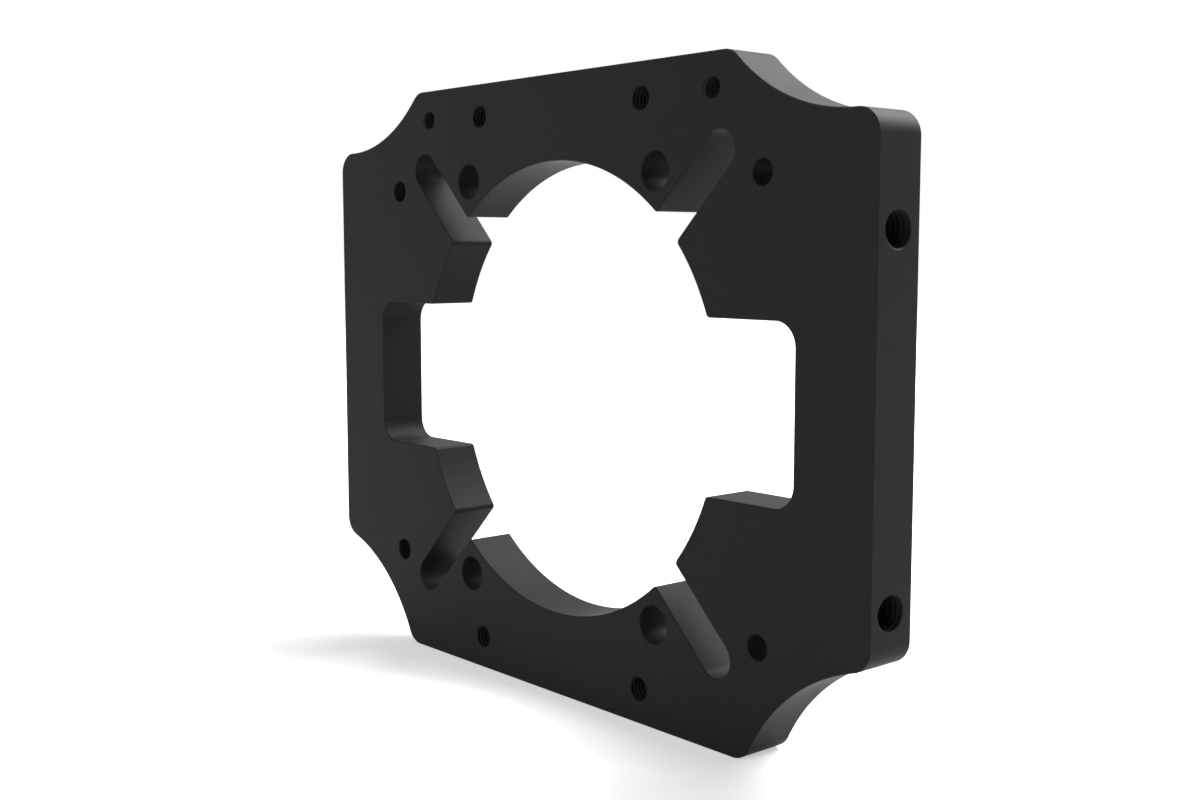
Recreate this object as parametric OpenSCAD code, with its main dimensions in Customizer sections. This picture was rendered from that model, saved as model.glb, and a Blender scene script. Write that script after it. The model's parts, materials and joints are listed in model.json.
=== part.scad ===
// Universal front-mount plate: one flat plate of machined aluminium that stands upright.
// Millimetres, Z up. X runs across the plate, Y through its thickness and Z up its height.
// The origin is on the axis of the centre bore, halfway through the thickness.
// The front face looks along -Y.

/* [Plate] */
// Width of the plate, side face to side face
plate_width = 180; // [140:1:260]
// Height of the plate, bottom edge to top edge
plate_height = 140; // [132:1:220]
// Thickness of the plate
plate_thickness = 12; // [9:0.5:25]
// Radius of the convex rounds at both ends of each corner scallop
corner_round = 5; // [1:0.5:8]

/* [Top corner scallops] */
// Radius of the concave circle that cuts each top corner
top_scallop_radius = 42; // [36:0.2:46]
// How far the circle's centre stands inside the side face
top_scallop_inset = 5.4; // [1:0.2:12]
// How far the circle's centre stands above the top edge
top_scallop_rise = 28.7; // [24:0.2:36]

/* [Bottom corner scallops] */
// Radius of the concave circle that cuts each bottom corner
bottom_scallop_radius = 42.6; // [36:0.2:46]
// How far the circle's centre stands outside the side face
bottom_scallop_outset = 8.2; // [2:0.2:14]
// How far the circle's centre stands below the bottom edge
bottom_scallop_drop = 16.8; // [12:0.2:26]

/* [Centre bore] */
// Diameter of the bore
bore_diameter = 102; // [90:0.5:104]
// Radius of the small rounds where the notches and slots meet the bore
mouth_round = 1; // [0.5:0.1:2]

/* [Side notches] */
// Distance across both notches, end wall to end wall
notch_span = 142; // [124:1:150]
// Height of the notches
notch_height = 36; // [20:1:44]
// Radius in the inside corners of the notches
notch_round = 5; // [1:0.5:9]

/* [Diagonal slots] */
// Width of the four 45 degree slots
slot_width = 8.2; // [5:0.1:10]
// Sideways and upward distance from the bore's axis to the centre of each slot's round end
slot_end_offset = 50.8; // [46:0.2:52]

/* [Fixing holes beside the slots] */
// Diameter of the four large fixing holes
fixing_hole_diameter = 8.2; // [5:0.1:8.6]
// Spacing of the fixing holes across the plate
fixing_spacing_across = 65; // [62:0.5:67]
// Spacing of the fixing holes up the plate
fixing_spacing_up = 95; // [93:0.5:98]

/* [M6 holes near the top and bottom edges] */
// Drilled diameter of the four edge holes
edge_hole_diameter = 5; // [3:0.1:6]
// Spacing of the edge holes across the plate
edge_spacing_across = 56; // [40:1:60]
// Spacing of the edge holes up the plate
edge_spacing_up = 125; // [122:0.5:127]

/* [Holes on the outer circle] */
// Diameter of the four outer holes
outer_hole_diameter = 5.2; // [3:0.1:6.5]
// Diameter of the circle that the outer holes lie on
outer_circle_diameter = 155; // [150:0.5:160]
// Angle of the outer holes above and below the plate's middle line
outer_hole_angle = 36.5; // [34:0.25:38]

/* [M5 holes in the top corners] */
// Drilled diameter of the two top holes
top_hole_diameter = 4.2; // [2.5:0.1:5]
// Spacing of the two top holes across the plate
top_hole_spacing = 97.4; // [94:0.2:99]
// Distance of the top holes below the top edge
top_hole_drop = 7; // [6:0.2:8]

/* [Tapped M8 holes in the side faces] */
// Drilled diameter of the four side holes
side_hole_diameter = 6.8; // [4:0.1:7]
// Spacing of the side holes up each side face
side_hole_spacing = 70; // [60:1:76]
// Depth of the side holes to the end of their full diameter
side_hole_depth = 22; // [10:0.5:24]

/* [Hidden] */
$fn = 128;
half_width = plate_width / 2;
half_height = plate_height / 2;
bore_radius = bore_diameter / 2;
// Tools run this far past the faces that they cut
run_out = 1;
// Two arcs that blend into each other overlap by this much, so that they always meet
arc_overlap = 0.0002;
// Radius of the small flat that the drill's chisel edge leaves at the end of a blind hole
point_flat_radius = 0.4;
// Depth of the drill point, for a 118 degree drill
point_depth = (side_hole_diameter / 2 - point_flat_radius) / tan(59);
// Place of the outer holes
outer_x = outer_circle_diameter / 2 * cos(outer_hole_angle);
outer_z = outer_circle_diameter / 2 * sin(outer_hole_angle);
// Distance of the slots' round ends along their 45 degree line
slot_reach = slot_end_offset * sqrt(2);

// Concave corner cut at the upper right: a circle about [cx, cz], blended into the side face and
// into the top edge by two convex rounds that touch the circle and the straight edge.
module scallop(cx, cz, radius, blend) {
    reach = radius + blend - arc_overlap;
    side_x = half_width - blend;
    side_z = cz - sqrt(reach * reach - (cx - side_x) * (cx - side_x));
    top_z = half_height - blend;
    top_x = cx - sqrt(reach * reach - (cz - top_z) * (cz - top_z));
    far = max(cx, half_width) + 20;
    high = max(cz, half_height) + 20;
    translate([cx, cz])
        circle(r = radius);
    difference() {
        polygon([[side_x, side_z], [far, side_z], [far, cz], [cx, cz]]);
        translate([side_x, side_z])
            circle(r = blend);
    }
    difference() {
        polygon([[top_x, top_z], [cx, cz], [cx, high], [top_x, high]]);
        translate([top_x, top_z])
            circle(r = blend);
    }
}

// Outline of the plate seen from the front
module outline() {
    difference() {
        square([plate_width, plate_height], center = true);
        for (side = [0, 1])
            mirror([side, 0]) {
                scallop(half_width - top_scallop_inset, half_height + top_scallop_rise,
                    top_scallop_radius, corner_round);
                mirror([0, 1])
                    scallop(half_width + bottom_scallop_outset, half_height + bottom_scallop_drop,
                        bottom_scallop_radius, corner_round);
            }
    }
}

// The two rounded material corners where a gap of this half width leaves the bore along +X
module mouth(half_gap, blend) {
    reach = bore_radius + blend - arc_overlap;
    across = half_gap + blend;
    along = sqrt(reach * reach - across * across);
    for (side = [0, 1])
        mirror([0, side])
            difference() {
                polygon([[0, 0], [along, 0], [along, across]]);
                translate([along, across])
                    circle(r = blend);
            }
}

// Both side notches in one long rounded rectangle
module notches() {
    square([notch_span, notch_height - 2 * notch_round], center = true);
    square([notch_span - 2 * notch_round, notch_height], center = true);
    for (x = [-1, 1])
        for (z = [-1, 1])
            translate([x * (notch_span / 2 - notch_round), z * (notch_height / 2 - notch_round)])
                circle(r = notch_round);
}

// The bore with its notches and slots, as one opening seen from the front
module opening() {
    circle(r = bore_radius);
    notches();
    for (turn = [0, 180])
        rotate(turn)
            mouth(notch_height / 2, mouth_round);
    for (turn = [45, 135, 225, 315])
        rotate(turn) {
            translate([0, -slot_width / 2])
                square([slot_reach, slot_width]);
            translate([slot_reach, 0])
                circle(r = slot_width / 2);
            mouth(slot_width / 2, mouth_round);
        }
}

// Four holes at the corners of a rectangle about the bore's axis
module four_holes(across, up, diameter) {
    for (x = [-1, 1])
        for (z = [-1, 1])
            translate([x * across / 2, z * up / 2])
                circle(d = diameter);
}

// All the holes that go through the face
module face_holes() {
    four_holes(fixing_spacing_across, fixing_spacing_up, fixing_hole_diameter);
    four_holes(edge_spacing_across, edge_spacing_up, edge_hole_diameter);
    four_holes(2 * outer_x, 2 * outer_z, outer_hole_diameter);
    for (x = [-1, 1])
        translate([x * top_hole_spacing / 2, half_height - top_hole_drop])
            circle(d = top_hole_diameter);
}

// A blind hole from the right side face, with the cone that the drill leaves
module side_hole() {
    translate([half_width - side_hole_depth, 0, 0])
        rotate([0, 90, 0])
            cylinder(d = side_hole_diameter, h = side_hole_depth + run_out);
    translate([half_width - side_hole_depth, 0, 0])
        rotate([0, -90, 0])
            cylinder(r1 = side_hole_diameter / 2, r2 = point_flat_radius, h = point_depth);
}

// The plate itself
module mounting_plate() {
    color([0.035, 0.035, 0.037])
        difference() {
            translate([0, plate_thickness / 2, 0])
                rotate([90, 0, 0])
                    linear_extrude(height = plate_thickness)
                        difference() {
                            outline();
                            opening();
                            face_holes();
                        }
            for (side = [0, 1])
                mirror([side, 0, 0])
                    for (z = [-1, 1])
                        translate([0, 0, z * side_hole_spacing / 2])
                            side_hole();
        }
}

mounting_plate();
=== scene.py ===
"""Front-mount bracket plate: a machined plate with deburred edges and cut threads, anodised black.

The plate's outline is drawn with arcs, filled, given its thickness and its edge breaks, and then drilled
and tapped. Everything is in metres. X runs across the plate, Y from its front face to its back and Z up.
The origin is on the axis of the centre bore, halfway through the plate.
"""

import json
import math

import bmesh
import bpy
from bpy.props import FloatProperty, FloatVectorProperty, PointerProperty
from bpy.types import Operator, Panel, PropertyGroup
from mathutils import Matrix, Vector

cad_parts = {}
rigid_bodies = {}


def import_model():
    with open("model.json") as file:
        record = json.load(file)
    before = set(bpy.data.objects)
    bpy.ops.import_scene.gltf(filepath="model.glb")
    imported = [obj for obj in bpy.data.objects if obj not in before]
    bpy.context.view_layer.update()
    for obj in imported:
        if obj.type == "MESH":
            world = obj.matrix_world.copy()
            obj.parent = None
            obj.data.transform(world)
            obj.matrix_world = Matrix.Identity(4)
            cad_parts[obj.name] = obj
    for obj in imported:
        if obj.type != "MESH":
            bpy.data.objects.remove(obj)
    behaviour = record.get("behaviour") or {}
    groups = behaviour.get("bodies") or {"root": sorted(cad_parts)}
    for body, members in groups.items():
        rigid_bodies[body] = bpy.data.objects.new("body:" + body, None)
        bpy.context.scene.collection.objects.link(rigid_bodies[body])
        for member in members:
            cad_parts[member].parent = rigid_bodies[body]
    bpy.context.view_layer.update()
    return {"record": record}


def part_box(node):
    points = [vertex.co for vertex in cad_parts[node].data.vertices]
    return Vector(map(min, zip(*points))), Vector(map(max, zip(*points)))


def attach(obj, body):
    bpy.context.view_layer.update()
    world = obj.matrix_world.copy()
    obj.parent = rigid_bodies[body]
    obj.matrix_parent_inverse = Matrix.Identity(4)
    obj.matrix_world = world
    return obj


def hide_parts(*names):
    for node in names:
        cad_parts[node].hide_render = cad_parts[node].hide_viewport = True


bl_info = {
    "name": "Front-mount bracket plate",
    "version": (1, 0, 0),
    "blender": (4, 5, 0),
    "location": "3D View > Sidebar > Bracket",
    "description": "Models a drilled, tapped and anodised mounting plate with its studio",
    "category": "Object",
}

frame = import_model()

MM = 0.001
NODE = "mounting_plate"
BODY = "root"
PLATE_LOW, PLATE_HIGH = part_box(NODE)
MOUNTS = {mount["name"]: mount for mount in frame["record"]["mounts"]}

# Direction that the front face looks in
FRONT = Vector((0, -1, 0))

# Largest distance from a true arc to the chords that stand for it
ARC_ERROR = 0.004 * MM
# Points closer than this are one point
MERGE_DISTANCE = 0.001 * MM
# Edges sharper than this stay sharp, and all others are shaded smooth
SMOOTH_ANGLE = math.radians(25)
# Cutters reach this far past the faces that they cut
RUN_OUT = 1.0 * MM
# A tap takes this much off the wall of its drilled hole
CLEAN_UP = 0.01 * MM
# Steps round one turn of a thread
THREAD_STEPS = 48
# Half of a metric thread's angle
FLANK_ANGLE = math.radians(30)
# Flat at a thread's outer radius, as a part of its pitch
ROOT_SHARE = 1 / 8
# Half of a drill's point angle
POINT_ANGLE = math.radians(59)
# Two unit directions are square to each other if their product is below this
SQUARE = 0.01
# Points are put in order along this way, uneven so that hardly any two of them lie level
ORDER_WAY = Vector((1.0, 1.618, 2.718))


def mm_length(name, description, default):
    """A length property whose default is written in millimetres."""
    return FloatProperty(
        name=name, description=description, default=default * MM, unit="LENGTH", min=0, precision=5
    )


def degree_angle(name, description, default):
    """An angle property whose default is written in degrees."""
    return FloatProperty(
        name=name, description=description, default=math.radians(default), subtype="ANGLE"
    )


class PlateSizes(PropertyGroup):
    """Sizes of the plate that its outline, edges and threads are built from."""

    corner_round: mm_length("Corner round", "Convex rounds at both ends of each scallop", 5)
    top_scallop_radius: mm_length("Top scallop radius", "Concave circle at each top corner", 42)
    top_scallop_inset: mm_length("Top scallop inset", "Circle's centre inside the side face", 5.4)
    top_scallop_rise: mm_length("Top scallop rise", "Circle's centre above the top edge", 28.7)
    bottom_scallop_radius: mm_length("Bottom scallop radius", "Concave circle at each bottom corner", 42.6)
    bottom_scallop_outset: mm_length("Bottom scallop outset", "Circle's centre outside the side face", 8.2)
    bottom_scallop_drop: mm_length("Bottom scallop drop", "Circle's centre below the bottom edge", 16.8)
    bore_radius: mm_length("Bore radius", "Radius of the centre bore", 51)
    mouth_round: mm_length("Mouth round", "Rounds where notches and slots meet the bore", 1)
    notch_span: mm_length("Notch span", "Distance across both side notches", 142)
    notch_height: mm_length("Notch height", "Height of the side notches", 36)
    notch_round: mm_length("Notch round", "Inside corners of the side notches", 5)
    slot_width: mm_length("Slot width", "Width of the diagonal slots", 8.2)
    slot_end_offset: mm_length("Slot end", "Sideways and upward place of each slot's round end", 50.8)
    side_hole_depth: mm_length("Side hole depth", "Full-diameter depth of the side holes", 22)
    drill_flat: mm_length("Drill flat", "Radius of the flat that a drill's chisel edge leaves", 0.4)
    edge_break: mm_length("Edge break", "Width of the deburred edges", 0.2)
    thread_runout: mm_length("Thread run-out", "Part of a blind hole's depth that isn't tapped", 3)


class FinishSettings(PropertyGroup):
    """Colour and texture of the anodised surface."""

    colour: FloatVectorProperty(
        name="Colour",
        description="Colour of the dyed oxide layer",
        subtype="COLOR",
        size=3,
        default=(0.0125, 0.0125, 0.0128),
        min=0,
        max=1,
    )
    roughness: FloatProperty(
        name="Roughness", description="Mean roughness of the satin", default=0.52, min=0, max=1
    )
    specular: FloatProperty(
        name="Specular", description="Specular level of the oxide layer", default=0.06, min=0, max=1
    )
    grain: mm_length("Grain", "Size of the etched grain", 0.15)
    grain_height: mm_length("Grain height", "Height of the etched grain", 0.01)


class StageSettings(PropertyGroup):
    """Camera, floor and light."""

    camera_place: FloatVectorProperty(
        name="Camera place",
        description="Where the camera stands, found from the outlines of the holes in the photograph",
        subtype="TRANSLATION",
        size=3,
        default=(0.25156, -0.21058, 0.03148),
    )
    view_angle: degree_angle("View angle", "Angle that the camera sees across the picture", 45)
    heading: degree_angle("Heading", "Camera's turn from +Y towards -X", 49.094)
    dip: degree_angle("Dip", "Camera's tilt below the horizon", 5.936)
    floor_white: FloatProperty(
        name="Floor white", description="Reflectance of the pale floor", default=0.8, min=0, max=1
    )
    floor_glow: FloatProperty(
        name="Floor glow", description="Brightness that the seen floor gets in addition", default=0.5, min=0
    )
    shadow_reach: FloatProperty(
        name="Shadow reach",
        description="Distance from the plate's middle at which the floor's glow starts to rise",
        default=0.25,
        unit="LENGTH",
        min=0,
    )
    white_reach: FloatProperty(
        name="White reach",
        description="Distance from the plate's middle at which the floor's glow is full white",
        default=0.9,
        unit="LENGTH",
        min=0,
    )
    room_light: FloatProperty(
        name="Room light", description="Strength of the even light that the room gives", default=0.05, min=0
    )


# Each bolt pattern with tapped holes, its thread's outer radius and its pitch
TAPPED_HOLES = (
    ("top_holes_m5", 2.5 * MM, 0.8 * MM),
    ("edge_holes_m6", 3.0 * MM, 1.0 * MM),
    ("right_side_holes_m8", 4.0 * MM, 1.25 * MM),
    ("left_side_holes_m8", 4.0 * MM, 1.25 * MM),
)

# Bolt patterns that go through the face
FACE_HOLES = ("fixing_holes", "edge_holes_m6", "outer_holes", "top_holes_m5")

# Pattern sizes of the finish, as noise scales per metre, and how far each pattern goes from its mean
DYE_SCALE = 38.0
DYE_DETAIL = 4.0
DYE_SPREAD = 0.1
CLOUD_SCALE = 160.0
CLOUD_DETAIL = 3.0
CLOUD_SPREAD = 0.03
GRAIN_DETAIL = 2.0
GRAIN_STRENGTH = 0.5

# Name of each softbox, its angles round the plate and above it in degrees, and its power in watts
SOFTBOXES = (
    ("front_fill", 280, 15, 13),
    ("right_edge", 40, 42, 4),
    ("back_key", 80, 42, 40),
    ("back_low", 105, 30, 3),
    ("back_top", 120, 65, 18),
)
# How far the softboxes stand from the plate, how wide they are, and half the floor's width, in metres
SOFTBOX_DISTANCE = 1.6
SOFTBOX_SIZE = 1.0
FLOOR_HALF_SIZE = 6.0
# Width of the camera's sensor in millimetres, and the nearest distance that it shows, in metres
SENSOR_WIDTH = 36.0
NEAREST_SEEN = 0.01


# Drawing the outline in the front plane


def on_front(x, z):
    """A point of the front face."""
    return Vector((x, PLATE_LOW.y, z))


def arc_steps(radius, turn):
    """How many chords stand for an arc."""
    step = 2 * math.acos(1 - ARC_ERROR / radius)
    return max(2, math.ceil(abs(turn) / step))


def sweep(bm, centre, radius, start, turn):
    """Spins a point into a chain of edges and returns the chain's first and last vertex. Angles are
    counterclockwise from +X, as seen from the front."""
    x, z = centre
    first = bm.verts.new(on_front(x + radius * math.cos(start), z + radius * math.sin(start)))
    spun = bmesh.ops.spin(
        bm, geom=[first], cent=on_front(x, z), axis=FRONT, angle=turn, steps=arc_steps(radius, turn)
    )
    last = [item for item in spun["geom_last"] if isinstance(item, bmesh.types.BMVert)][0]
    return first, last


def closed_outline(bm, arcs):
    """Draws arcs one after another, joined by straight edges, into one closed outline."""
    ends = [sweep(bm, *arc) for arc in arcs]
    for (_, last), (first, _) in zip(ends, ends[1:] + ends[:1]):
        if (last.co - first.co).length > MERGE_DISTANCE:
            bm.edges.new((last, first))


def direction(a, b):
    """Angle of the way from one point to another."""
    return math.atan2(b[1] - a[1], b[0] - a[0])


def signed_turn(start, end, sense):
    """Turn from one angle to another, counterclockwise if sense is 1 and clockwise if it is -1."""
    return sense * ((sense * (end - start)) % (2 * math.pi))


def corner_arcs(half_width, half_height, centre, radius, blend):
    """The three arcs of a scalloped upper right corner, from its side face to its top edge: a convex
    round, the concave scallop and a second convex round, each touching the next."""
    reach = radius + blend
    side = (half_width - blend, centre[1] - math.sqrt(reach**2 - (centre[0] - half_width + blend) ** 2))
    top = (centre[0] - math.sqrt(reach**2 - (centre[1] - half_height + blend) ** 2), half_height - blend)
    side_end = direction(side, centre)
    top_start = direction(top, centre)
    return [
        (side, blend, 0, side_end),
        (centre, radius, side_end + math.pi, signed_turn(side_end, top_start, -1)),
        (top, blend, top_start, math.pi / 2 - top_start),
    ]


def mirrored(arcs, across, up):
    """The same arcs mirrored sideways, upside down or both. One mirror alone turns an outline round, so the
    order and the sense of its arcs are reversed."""
    made = []
    for (x, z), radius, start, turn in arcs:
        if across:
            x, start, turn = -x, math.pi - start, -turn
        if up:
            z, start, turn = -z, -start, -turn
        made.append(((x, z), radius, start, turn))
    if across != up:
        made = [(c, r, start + turn, -turn) for c, r, start, turn in reversed(made)]
    return made


def plate_outline(sizes):
    """Arcs of the outer outline, counterclockwise from the upper right corner."""
    half_width, half_height = PLATE_HIGH.x, PLATE_HIGH.z
    top = corner_arcs(
        half_width,
        half_height,
        (half_width - sizes.top_scallop_inset, half_height + sizes.top_scallop_rise),
        sizes.top_scallop_radius,
        sizes.corner_round,
    )
    bottom = corner_arcs(
        half_width,
        half_height,
        (half_width + sizes.bottom_scallop_outset, half_height + sizes.bottom_scallop_drop),
        sizes.bottom_scallop_radius,
        sizes.corner_round,
    )
    return (
        mirrored(top, False, False)
        + mirrored(top, True, False)
        + mirrored(bottom, True, True)
        + mirrored(bottom, False, True)
    )


def gap_arcs(sizes, heading, half_gap, end_arcs):
    """Arcs round one gap that leaves the bore at a heading, from the bore's wall out and back again."""
    blend = sizes.mouth_round
    across = half_gap + blend
    along = math.sqrt((sizes.bore_radius + blend) ** 2 - across**2)
    lean = math.atan2(across, along)
    quarter = math.pi / 2
    local = [((along, -across), blend, math.pi - lean, -(quarter - lean))]
    local += end_arcs
    local += [((along, across), blend, -quarter, -(quarter - lean))]
    turned = []
    for (x, z), radius, start, turn in local:
        centre = (
            x * math.cos(heading) - z * math.sin(heading),
            x * math.sin(heading) + z * math.cos(heading),
        )
        turned.append((centre, radius, start + heading, turn))
    return turned, lean


def bore_outline(sizes):
    """Arcs of the bore with its notches and slots, counterclockwise."""
    quarter = math.pi / 2
    corner = (sizes.notch_span / 2 - sizes.notch_round, sizes.notch_height / 2 - sizes.notch_round)
    notch_end = [
        ((corner[0], -corner[1]), sizes.notch_round, -quarter, quarter),
        ((corner[0], corner[1]), sizes.notch_round, 0, quarter),
    ]
    slot_half = sizes.slot_width / 2
    slot_end = [((sizes.slot_end_offset * math.sqrt(2), 0), slot_half, -quarter, math.pi)]
    gaps = []
    for heading, half_gap, end in (
        (0, sizes.notch_height / 2, notch_end),
        (45, slot_half, slot_end),
        (135, slot_half, slot_end),
        (180, sizes.notch_height / 2, notch_end),
        (225, slot_half, slot_end),
        (315, slot_half, slot_end),
    ):
        turned, lean = gap_arcs(sizes, math.radians(heading), half_gap, end)
        gaps.append((math.radians(heading), lean, turned))
    arcs = []
    for (heading, lean, turned), (next_heading, next_lean, _) in zip(gaps, gaps[1:] + gaps[:1]):
        arcs += turned
        start = heading + lean
        arcs.append(((0, 0), sizes.bore_radius, start, signed_turn(start, next_heading - next_lean, 1)))
    return arcs


# Holes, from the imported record's bolt patterns


def pattern(name):
    """Centres and radius of the holes that a mount of the record states. Its rows and columns run along
    the two world axes that are square to its own axis."""
    mount = MOUNTS[name]
    middle, axis, dims = Vector(mount["pos_m"]), Vector(mount["axis"]), mount["dims"]
    first, second = [Vector(row) for row in Matrix.Identity(3) if abs(row.dot(axis)) < SQUARE]
    halves = [dims.get(key, 0) / 2 * MM for key in ("spacing_x_mm", "spacing_y_mm")]
    centres = [
        middle + first * halves[0] * i + second * halves[1] * j
        for i in ((-1, 1) if halves[0] else (0,))
        for j in ((-1, 1) if halves[1] else (0,))
    ]
    return centres, dims["hole_r_mm"] * MM


def through_holes():
    """Centres and radii of the holes that go through the face."""
    made = []
    for name in FACE_HOLES:
        centres, radius = pattern(name)
        made += [(centre, radius) for centre in centres]
    return made


# Solids


def touches_wall(vert):
    """True for a vertex that one of the plate's walls ends in."""
    return any(abs(face.normal.y) < SQUARE for face in vert.link_faces)


def break_edges(bm, way, width):
    """Chamfers every edge of the front face, where way is -1, or of the back face, where it is 1. The face
    is inset, and the rim that is left on the walls is moved down them."""
    flat = [face for face in bm.faces if face.normal.y * way > 1 - SQUARE]
    border = bmesh.ops.inset_region(
        bm, faces=flat, thickness=width, use_even_offset=True, use_boundary=True
    )["faces"]
    rim = {vert for face in border for vert in face.verts if touches_wall(vert)}
    bmesh.ops.translate(bm, verts=list(rim), vec=FRONT * way * width)
    bm.normal_update()


def hold_to_box(bm):
    """Takes off rounding errors, so that no vertex stands outside the frame's plate."""
    for vert in bm.verts:
        for axis, (low, high) in enumerate(zip(PLATE_LOW, PLATE_HIGH)):
            vert.co[axis] = min(max(vert.co[axis], low), high)


def plate_blank(sizes):
    """Fills the outline, gives it its thickness and breaks its edges."""
    bm = bmesh.new()
    closed_outline(bm, plate_outline(sizes))
    closed_outline(bm, bore_outline(sizes))
    upright = Matrix.Rotation(math.pi / 2, 4, "X")
    for centre, radius in through_holes():
        bmesh.ops.create_circle(
            bm,
            radius=radius,
            segments=arc_steps(radius, 2 * math.pi),
            matrix=Matrix.Translation(on_front(centre.x, centre.z)) @ upright,
        )
    bmesh.ops.remove_doubles(bm, verts=bm.verts, dist=MERGE_DISTANCE)
    bmesh.ops.triangle_fill(bm, edges=bm.edges, use_beauty=True, normal=FRONT)
    grown = bmesh.ops.extrude_face_region(bm, geom=bm.faces[:])["geom"]
    back_verts = [item for item in grown if isinstance(item, bmesh.types.BMVert)]
    bmesh.ops.translate(bm, verts=back_verts, vec=(0, PLATE_HIGH.y - PLATE_LOW.y, 0))
    bmesh.ops.recalc_face_normals(bm, faces=bm.faces)
    for way in (-1, 1):
        break_edges(bm, way, sizes.edge_break)
    hold_to_box(bm)
    return bm


def thread_cutter(minor, major, pitch, length):
    """A solid threaded rod along +Z, from 0 to a little over its length, as a tap cuts it: its profile
    is spun round the axis and moves on by one pitch in each turn."""
    bm = bmesh.new()
    flank = (major - minor) * math.tan(FLANK_ANGLE)
    root_flat = pitch * ROOT_SHARE
    crest_flat = pitch - root_flat - 2 * flank
    turns = math.ceil(length / pitch)
    chain = [(0, 0)]
    for turn in range(turns):
        base = turn * pitch
        chain.append((minor, base))
        chain.append((minor, base + crest_flat))
        chain.append((major, base + crest_flat + flank))
        chain.append((major, base + crest_flat + flank + root_flat))
    chain.append((minor, turns * pitch))
    chain.append((0, turns * pitch))
    verts = [bm.verts.new((radius, 0, along)) for radius, along in chain]
    edges = [bm.edges.new(pair) for pair in zip(verts, verts[1:])]
    bmesh.ops.spin(
        bm,
        geom=verts + edges,
        cent=(0, 0, 0),
        axis=(0, 0, 1),
        dvec=(0, 0, pitch / THREAD_STEPS),
        angle=2 * math.pi,
        steps=THREAD_STEPS,
    )
    bmesh.ops.remove_doubles(bm, verts=bm.verts, dist=MERGE_DISTANCE)
    open_edges = [edge for edge in bm.edges if edge.is_boundary]
    bmesh.ops.holes_fill(bm, edges=open_edges)
    bmesh.ops.triangulate(bm, faces=[face for face in bm.faces if len(face.verts) > 4])
    bmesh.ops.recalc_face_normals(bm, faces=bm.faces)
    return bm


def drill_cutter(radius, depth, flat):
    """A drill along +Z, with its point below 0 and its body from 0 upward."""
    bm = bmesh.new()
    point = (radius - flat) / math.tan(POINT_ANGLE)
    chain = [(0, -point), (flat, -point), (radius, 0), (radius, depth), (0, depth)]
    verts = [bm.verts.new((across, 0, along)) for across, along in chain]
    edges = [bm.edges.new(pair) for pair in zip(verts, verts[1:])]
    bmesh.ops.spin(
        bm,
        geom=verts + edges,
        cent=(0, 0, 0),
        axis=(0, 0, 1),
        angle=2 * math.pi,
        steps=arc_steps(radius, 2 * math.pi),
        use_merge=True,
    )
    bmesh.ops.remove_doubles(bm, verts=bm.verts, dist=MERGE_DISTANCE)
    bmesh.ops.recalc_face_normals(bm, faces=bm.faces)
    return bm


def mouth_cutter(radius, width):
    """A cone that breaks the edge at a hole's mouth. The mouth is at 0 and the hole lies below."""
    bm = bmesh.new()
    bmesh.ops.create_cone(
        bm,
        cap_ends=True,
        cap_tris=False,
        segments=arc_steps(radius, 2 * math.pi),
        radius1=radius,
        radius2=radius + 2 * width,
        depth=2 * width,
    )
    return bm


def new_object(name, bm, collection):
    """Puts a bmesh into a new object."""
    mesh = bpy.data.meshes.new(name)
    bm.to_mesh(mesh)
    bm.free()
    made = bpy.data.objects.new(name, mesh)
    collection.objects.link(made)
    return made


def placed(bm, place, axis):
    """Turns a cutter's +Z to an axis and moves it to its place."""
    turn = axis.to_track_quat("Z", "Y").to_matrix().to_4x4()
    bmesh.ops.transform(bm, matrix=Matrix.Translation(place) @ turn, verts=bm.verts)
    return bm


def hole_cutters(sizes, collection):
    """Drills and taps for all tapped holes, as objects in a collection."""
    thickness = PLATE_HIGH.y - PLATE_LOW.y
    for name, major, pitch in TAPPED_HOLES:
        centres, drilled = pattern(name)
        axis = Vector(MOUNTS[name]["axis"])
        minor = drilled + CLEAN_UP
        blind = abs(axis.y) < SQUARE
        for centre in centres:
            if blind:
                bottom = centre - axis * sizes.side_hole_depth
                drill = drill_cutter(drilled, sizes.side_hole_depth + RUN_OUT, sizes.drill_flat)
                new_object("drill", placed(drill, bottom, axis), collection)
                mouth = mouth_cutter(drilled, sizes.edge_break)
                new_object("mouth", placed(mouth, centre, axis), collection)
                start = bottom + axis * sizes.thread_runout
                length = sizes.side_hole_depth - sizes.thread_runout + RUN_OUT
            else:
                start = centre - axis * (thickness + pitch + RUN_OUT)
                length = thickness + 2 * (pitch + RUN_OUT)
            tap = thread_cutter(minor, major, pitch, length)
            new_object("tap", placed(tap, start, axis), collection)


def cut(blank, collection):
    """Takes every object in a collection off the blank and returns the mesh that is left."""
    tool = blank.modifiers.new("holes", "BOOLEAN")
    tool.operation = "DIFFERENCE"
    tool.operand_type = "COLLECTION"
    tool.collection = collection
    tool.solver = "EXACT"
    mesh = finished_mesh(blank)
    merge_points(mesh)
    return mesh


def merge_points(mesh):
    """Makes one point of those that the cutters left too close to each other. They are put in order first,
    so that the same ones stay in every run."""
    bm = bmesh.new()
    bm.from_mesh(mesh)
    bm.verts.sort(key=lambda vert: vert.co.dot(ORDER_WAY))
    bm.verts.index_update()
    bmesh.ops.remove_doubles(bm, verts=bm.verts, dist=MERGE_DISTANCE)
    bm.to_mesh(mesh)
    bm.free()


def finished_mesh(thing):
    """Mesh of an object after its modifiers."""
    bpy.context.view_layer.update()
    return bpy.data.meshes.new_from_object(thing.evaluated_get(bpy.context.evaluated_depsgraph_get()))


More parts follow.
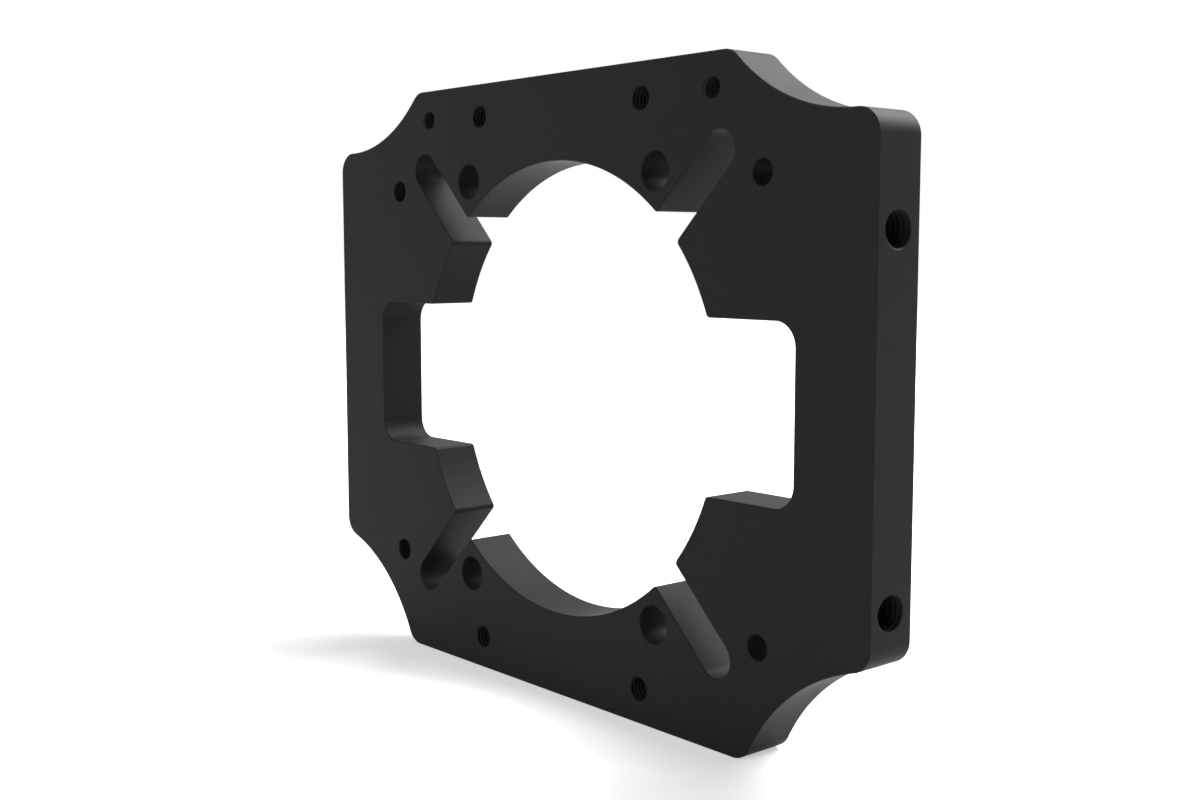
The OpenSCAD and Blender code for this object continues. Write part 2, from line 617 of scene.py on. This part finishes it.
def shade(mesh, collection):
    """Shades arcs smooth, keeps edges sharp and leaves flat faces flat right up to the arcs that they
    run into."""
    mesh.shade_smooth()
    mesh.set_sharp_from_angle(angle=SMOOTH_ANGLE)
    holder = bpy.data.objects.new("shaded", mesh)
    collection.objects.link(holder)
    weights = holder.modifiers.new("flats", "WEIGHTED_NORMAL")
    weights.mode = "FACE_AREA"
    weights.weight = 100
    weights.keep_sharp = True
    shaded = finished_mesh(holder)
    bpy.data.objects.remove(holder)
    return shaded


# Finish


def anodised(finish):
    """Black anodised aluminium: a dyed oxide layer with a fine etched grain, faint cloudiness in its
    gloss and a slightly uneven dye."""
    material = bpy.data.materials.new("black_anodised")
    material.use_nodes = True
    tree = material.node_tree
    nodes, links = tree.nodes, tree.links
    shader = nodes["Principled BSDF"]
    shader.inputs["Metallic"].default_value = 0.0
    shader.inputs["Specular IOR Level"].default_value = finish.specular
    place = nodes.new("ShaderNodeTexCoord")

    def noise(scale, detail):
        made = nodes.new("ShaderNodeTexNoise")
        made.inputs["Scale"].default_value = scale
        made.inputs["Detail"].default_value = detail
        links.new(place.outputs["Object"], made.inputs["Vector"])
        return made

    dye = noise(DYE_SCALE, DYE_DETAIL)
    tint = nodes.new("ShaderNodeMix")
    tint.data_type = "RGBA"
    for end, level in (("A", 1 - DYE_SPREAD), ("B", 1 + DYE_SPREAD)):
        tint.inputs[end].default_value = (*(channel * level for channel in finish.colour), 1)
    links.new(dye.outputs["Fac"], tint.inputs["Factor"])
    links.new(tint.outputs["Result"], shader.inputs["Base Color"])

    cloud = noise(CLOUD_SCALE, CLOUD_DETAIL)
    gloss = nodes.new("ShaderNodeMapRange")
    gloss.inputs["To Min"].default_value = finish.roughness - CLOUD_SPREAD
    gloss.inputs["To Max"].default_value = finish.roughness + CLOUD_SPREAD
    links.new(cloud.outputs["Fac"], gloss.inputs["Value"])
    links.new(gloss.outputs["Result"], shader.inputs["Roughness"])

    grain = noise(1 / finish.grain, GRAIN_DETAIL)
    relief = nodes.new("ShaderNodeBump")
    relief.inputs["Strength"].default_value = GRAIN_STRENGTH
    relief.inputs["Distance"].default_value = finish.grain_height
    links.new(grain.outputs["Fac"], relief.inputs["Height"])
    links.new(relief.outputs["Normal"], shader.inputs["Normal"])
    return material


class BRACKET_OT_plate(Operator):
    """Model the plate with its edge breaks and threads, and give it its anodised finish"""

    bl_idname = "bracket.plate"
    bl_label = "Mounting plate"

    def execute(self, context):
        sizes = context.scene.bracket_sizes
        collection = bpy.data.collections.new("hole cutters")
        context.scene.collection.children.link(collection)
        blank = new_object("blank", plate_blank(sizes), context.scene.collection)
        hole_cutters(sizes, collection)
        mesh = cut(blank, collection)
        for spent in [blank, *collection.objects]:
            bpy.data.objects.remove(spent)
        bpy.data.collections.remove(collection)
        if not mesh.polygons:
            raise RuntimeError("the cutters left nothing of the plate")
        mesh = shade(mesh, context.scene.collection)
        mesh.name = "finished_plate"
        plate = bpy.data.objects.new("finished_plate", mesh)
        context.scene.collection.objects.link(plate)
        mesh.materials.clear()
        mesh.materials.append(anodised(context.scene.bracket_finish))
        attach(plate, BODY)
        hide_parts(NODE)
        return {"FINISHED"}


# Stage


def seen_or_mirrored(tree):
    """1 for camera, glossy and transmission rays, and 0 for the rays that carry the room's light."""
    path = tree.nodes.new("ShaderNodeLightPath")
    last = path.outputs["Is Camera Ray"]
    for name in ("Is Glossy Ray", "Is Transmission Ray"):
        either = tree.nodes.new("ShaderNodeMath")
        either.operation = "MAXIMUM"
        tree.links.new(last, either.inputs[0])
        tree.links.new(path.outputs[name], either.inputs[1])
        last = either.outputs[0]
    return last


def floor_material(stage):
    """A pale matt floor. Where it is seen or mirrored it glows, a little round the plate, where the plate's
    shadow lies, and up to full white further out, where it meets the white background."""
    material = bpy.data.materials.new("pale_floor")
    material.use_nodes = True
    tree = material.node_tree
    tree.nodes.clear()
    place = tree.nodes.new("ShaderNodeTexCoord")
    distance = tree.nodes.new("ShaderNodeVectorMath")
    distance.operation = "LENGTH"
    tree.links.new(place.outputs["Object"], distance.inputs[0])
    fade = tree.nodes.new("ShaderNodeMapRange")
    fade.interpolation_type = "SMOOTHSTEP"
    fade.inputs["From Min"].default_value = stage.shadow_reach
    fade.inputs["From Max"].default_value = stage.white_reach
    fade.inputs["To Min"].default_value = stage.floor_glow
    fade.inputs["To Max"].default_value = 1.0
    tree.links.new(distance.outputs["Value"], fade.inputs["Value"])
    out = tree.nodes.new("ShaderNodeOutputMaterial")
    matt = tree.nodes.new("ShaderNodeBsdfDiffuse")
    matt.inputs["Color"].default_value = (stage.floor_white, stage.floor_white, stage.floor_white, 1)
    glow = tree.nodes.new("ShaderNodeEmission")
    tree.links.new(fade.outputs["Result"], glow.inputs["Strength"])
    both = tree.nodes.new("ShaderNodeAddShader")
    choice = tree.nodes.new("ShaderNodeMixShader")
    tree.links.new(matt.outputs[0], both.inputs[0])
    tree.links.new(glow.outputs[0], both.inputs[1])
    tree.links.new(seen_or_mirrored(tree), choice.inputs[0])
    tree.links.new(matt.outputs[0], choice.inputs[1])
    tree.links.new(both.outputs[0], choice.inputs[2])
    tree.links.new(choice.outputs[0], out.inputs["Surface"])
    return material


def white_world(scene, stage):
    """An even room light, with a white background where it is seen or mirrored."""
    world = bpy.data.worlds.new("white_room")
    world.use_nodes = True
    tree = world.node_tree
    background = tree.nodes["Background"]
    background.inputs["Color"].default_value = (1, 1, 1, 1)
    level = tree.nodes.new("ShaderNodeMapRange")
    level.inputs["To Min"].default_value = stage.room_light
    level.inputs["To Max"].default_value = 1.0
    tree.links.new(seen_or_mirrored(tree), level.inputs["Value"])
    tree.links.new(level.outputs["Result"], background.inputs["Strength"])
    scene.world = world


def softbox(scene, name, azimuth, elevation, power):
    """A square soft lamp that looks at the plate's middle. Azimuth is counterclockwise from +X."""
    lamp = bpy.data.lights.new(name, "AREA")
    lamp.shape = "SQUARE"
    lamp.size = SOFTBOX_SIZE
    lamp.energy = power
    made = bpy.data.objects.new(name, lamp)
    across, up = math.radians(azimuth), math.radians(elevation)
    towards = Vector((math.cos(across) * math.cos(up), math.sin(across) * math.cos(up), math.sin(up)))
    made.location = towards * SOFTBOX_DISTANCE
    made.rotation_euler = towards.to_track_quat("Z", "Y").to_euler()
    scene.collection.objects.link(made)


class BRACKET_OT_stage(Operator):
    """Set up the pale floor, the soft light and the camera"""

    bl_idname = "bracket.stage"
    bl_label = "Stage"

    def execute(self, context):
        scene = context.scene
        stage = scene.bracket_stage
        bm = bmesh.new()
        bmesh.ops.create_grid(bm, x_segments=1, y_segments=1, size=FLOOR_HALF_SIZE)
        bmesh.ops.translate(bm, verts=bm.verts, vec=(0, 0, PLATE_LOW.z))
        floor = new_object("floor", bm, scene.collection)
        floor.data.materials.append(floor_material(stage))
        white_world(scene, stage)
        for name, azimuth, elevation, power in SOFTBOXES:
            softbox(scene, name, azimuth, elevation, power)
        camera_data = bpy.data.cameras.new("camera")
        camera_data.sensor_width = SENSOR_WIDTH
        camera_data.angle = stage.view_angle
        camera_data.clip_start = NEAREST_SEEN
        camera = bpy.data.objects.new("camera", camera_data)
        camera.location = stage.camera_place
        camera.rotation_euler = (math.pi / 2 - stage.dip, 0, stage.heading)
        scene.collection.objects.link(camera)
        scene.camera = camera
        scene.view_settings.view_transform = "Standard"
        return {"FINISHED"}


class BRACKET_PT_panel(Panel):
    """Lists the plate's sizes, its finish and its stage"""

    bl_idname = "BRACKET_PT_panel"
    bl_label = "Bracket"
    bl_space_type = "VIEW_3D"
    bl_region_type = "UI"
    bl_category = "Bracket"

    def draw(self, context):
        layout = self.layout
        for group, operator in (
            (context.scene.bracket_sizes, BRACKET_OT_plate),
            (context.scene.bracket_finish, None),
            (context.scene.bracket_stage, BRACKET_OT_stage),
        ):
            box = layout.box()
            for name in group.__annotations__:
                box.prop(group, name)
            if operator:
                box.operator(operator.bl_idname)


CLASSES = (
    PlateSizes,
    FinishSettings,
    StageSettings,
    BRACKET_OT_plate,
    BRACKET_OT_stage,
    BRACKET_PT_panel,
)
SETTINGS = (
    ("bracket_sizes", PlateSizes),
    ("bracket_finish", FinishSettings),
    ("bracket_stage", StageSettings),
)


def register():
    """Registers the classes and gives the scene its settings."""
    for cls in CLASSES:
        bpy.utils.register_class(cls)
    for name, group in SETTINGS:
        setattr(bpy.types.Scene, name, PointerProperty(type=group))


def unregister():
    """Takes the settings and the classes away again."""
    for name, _ in reversed(SETTINGS):
        delattr(bpy.types.Scene, name)
    for cls in reversed(CLASSES):
        bpy.utils.unregister_class(cls)


def main():
    register()
    bpy.ops.bracket.plate()
    bpy.ops.bracket.stage()


if __name__ == "__main__":
    main()
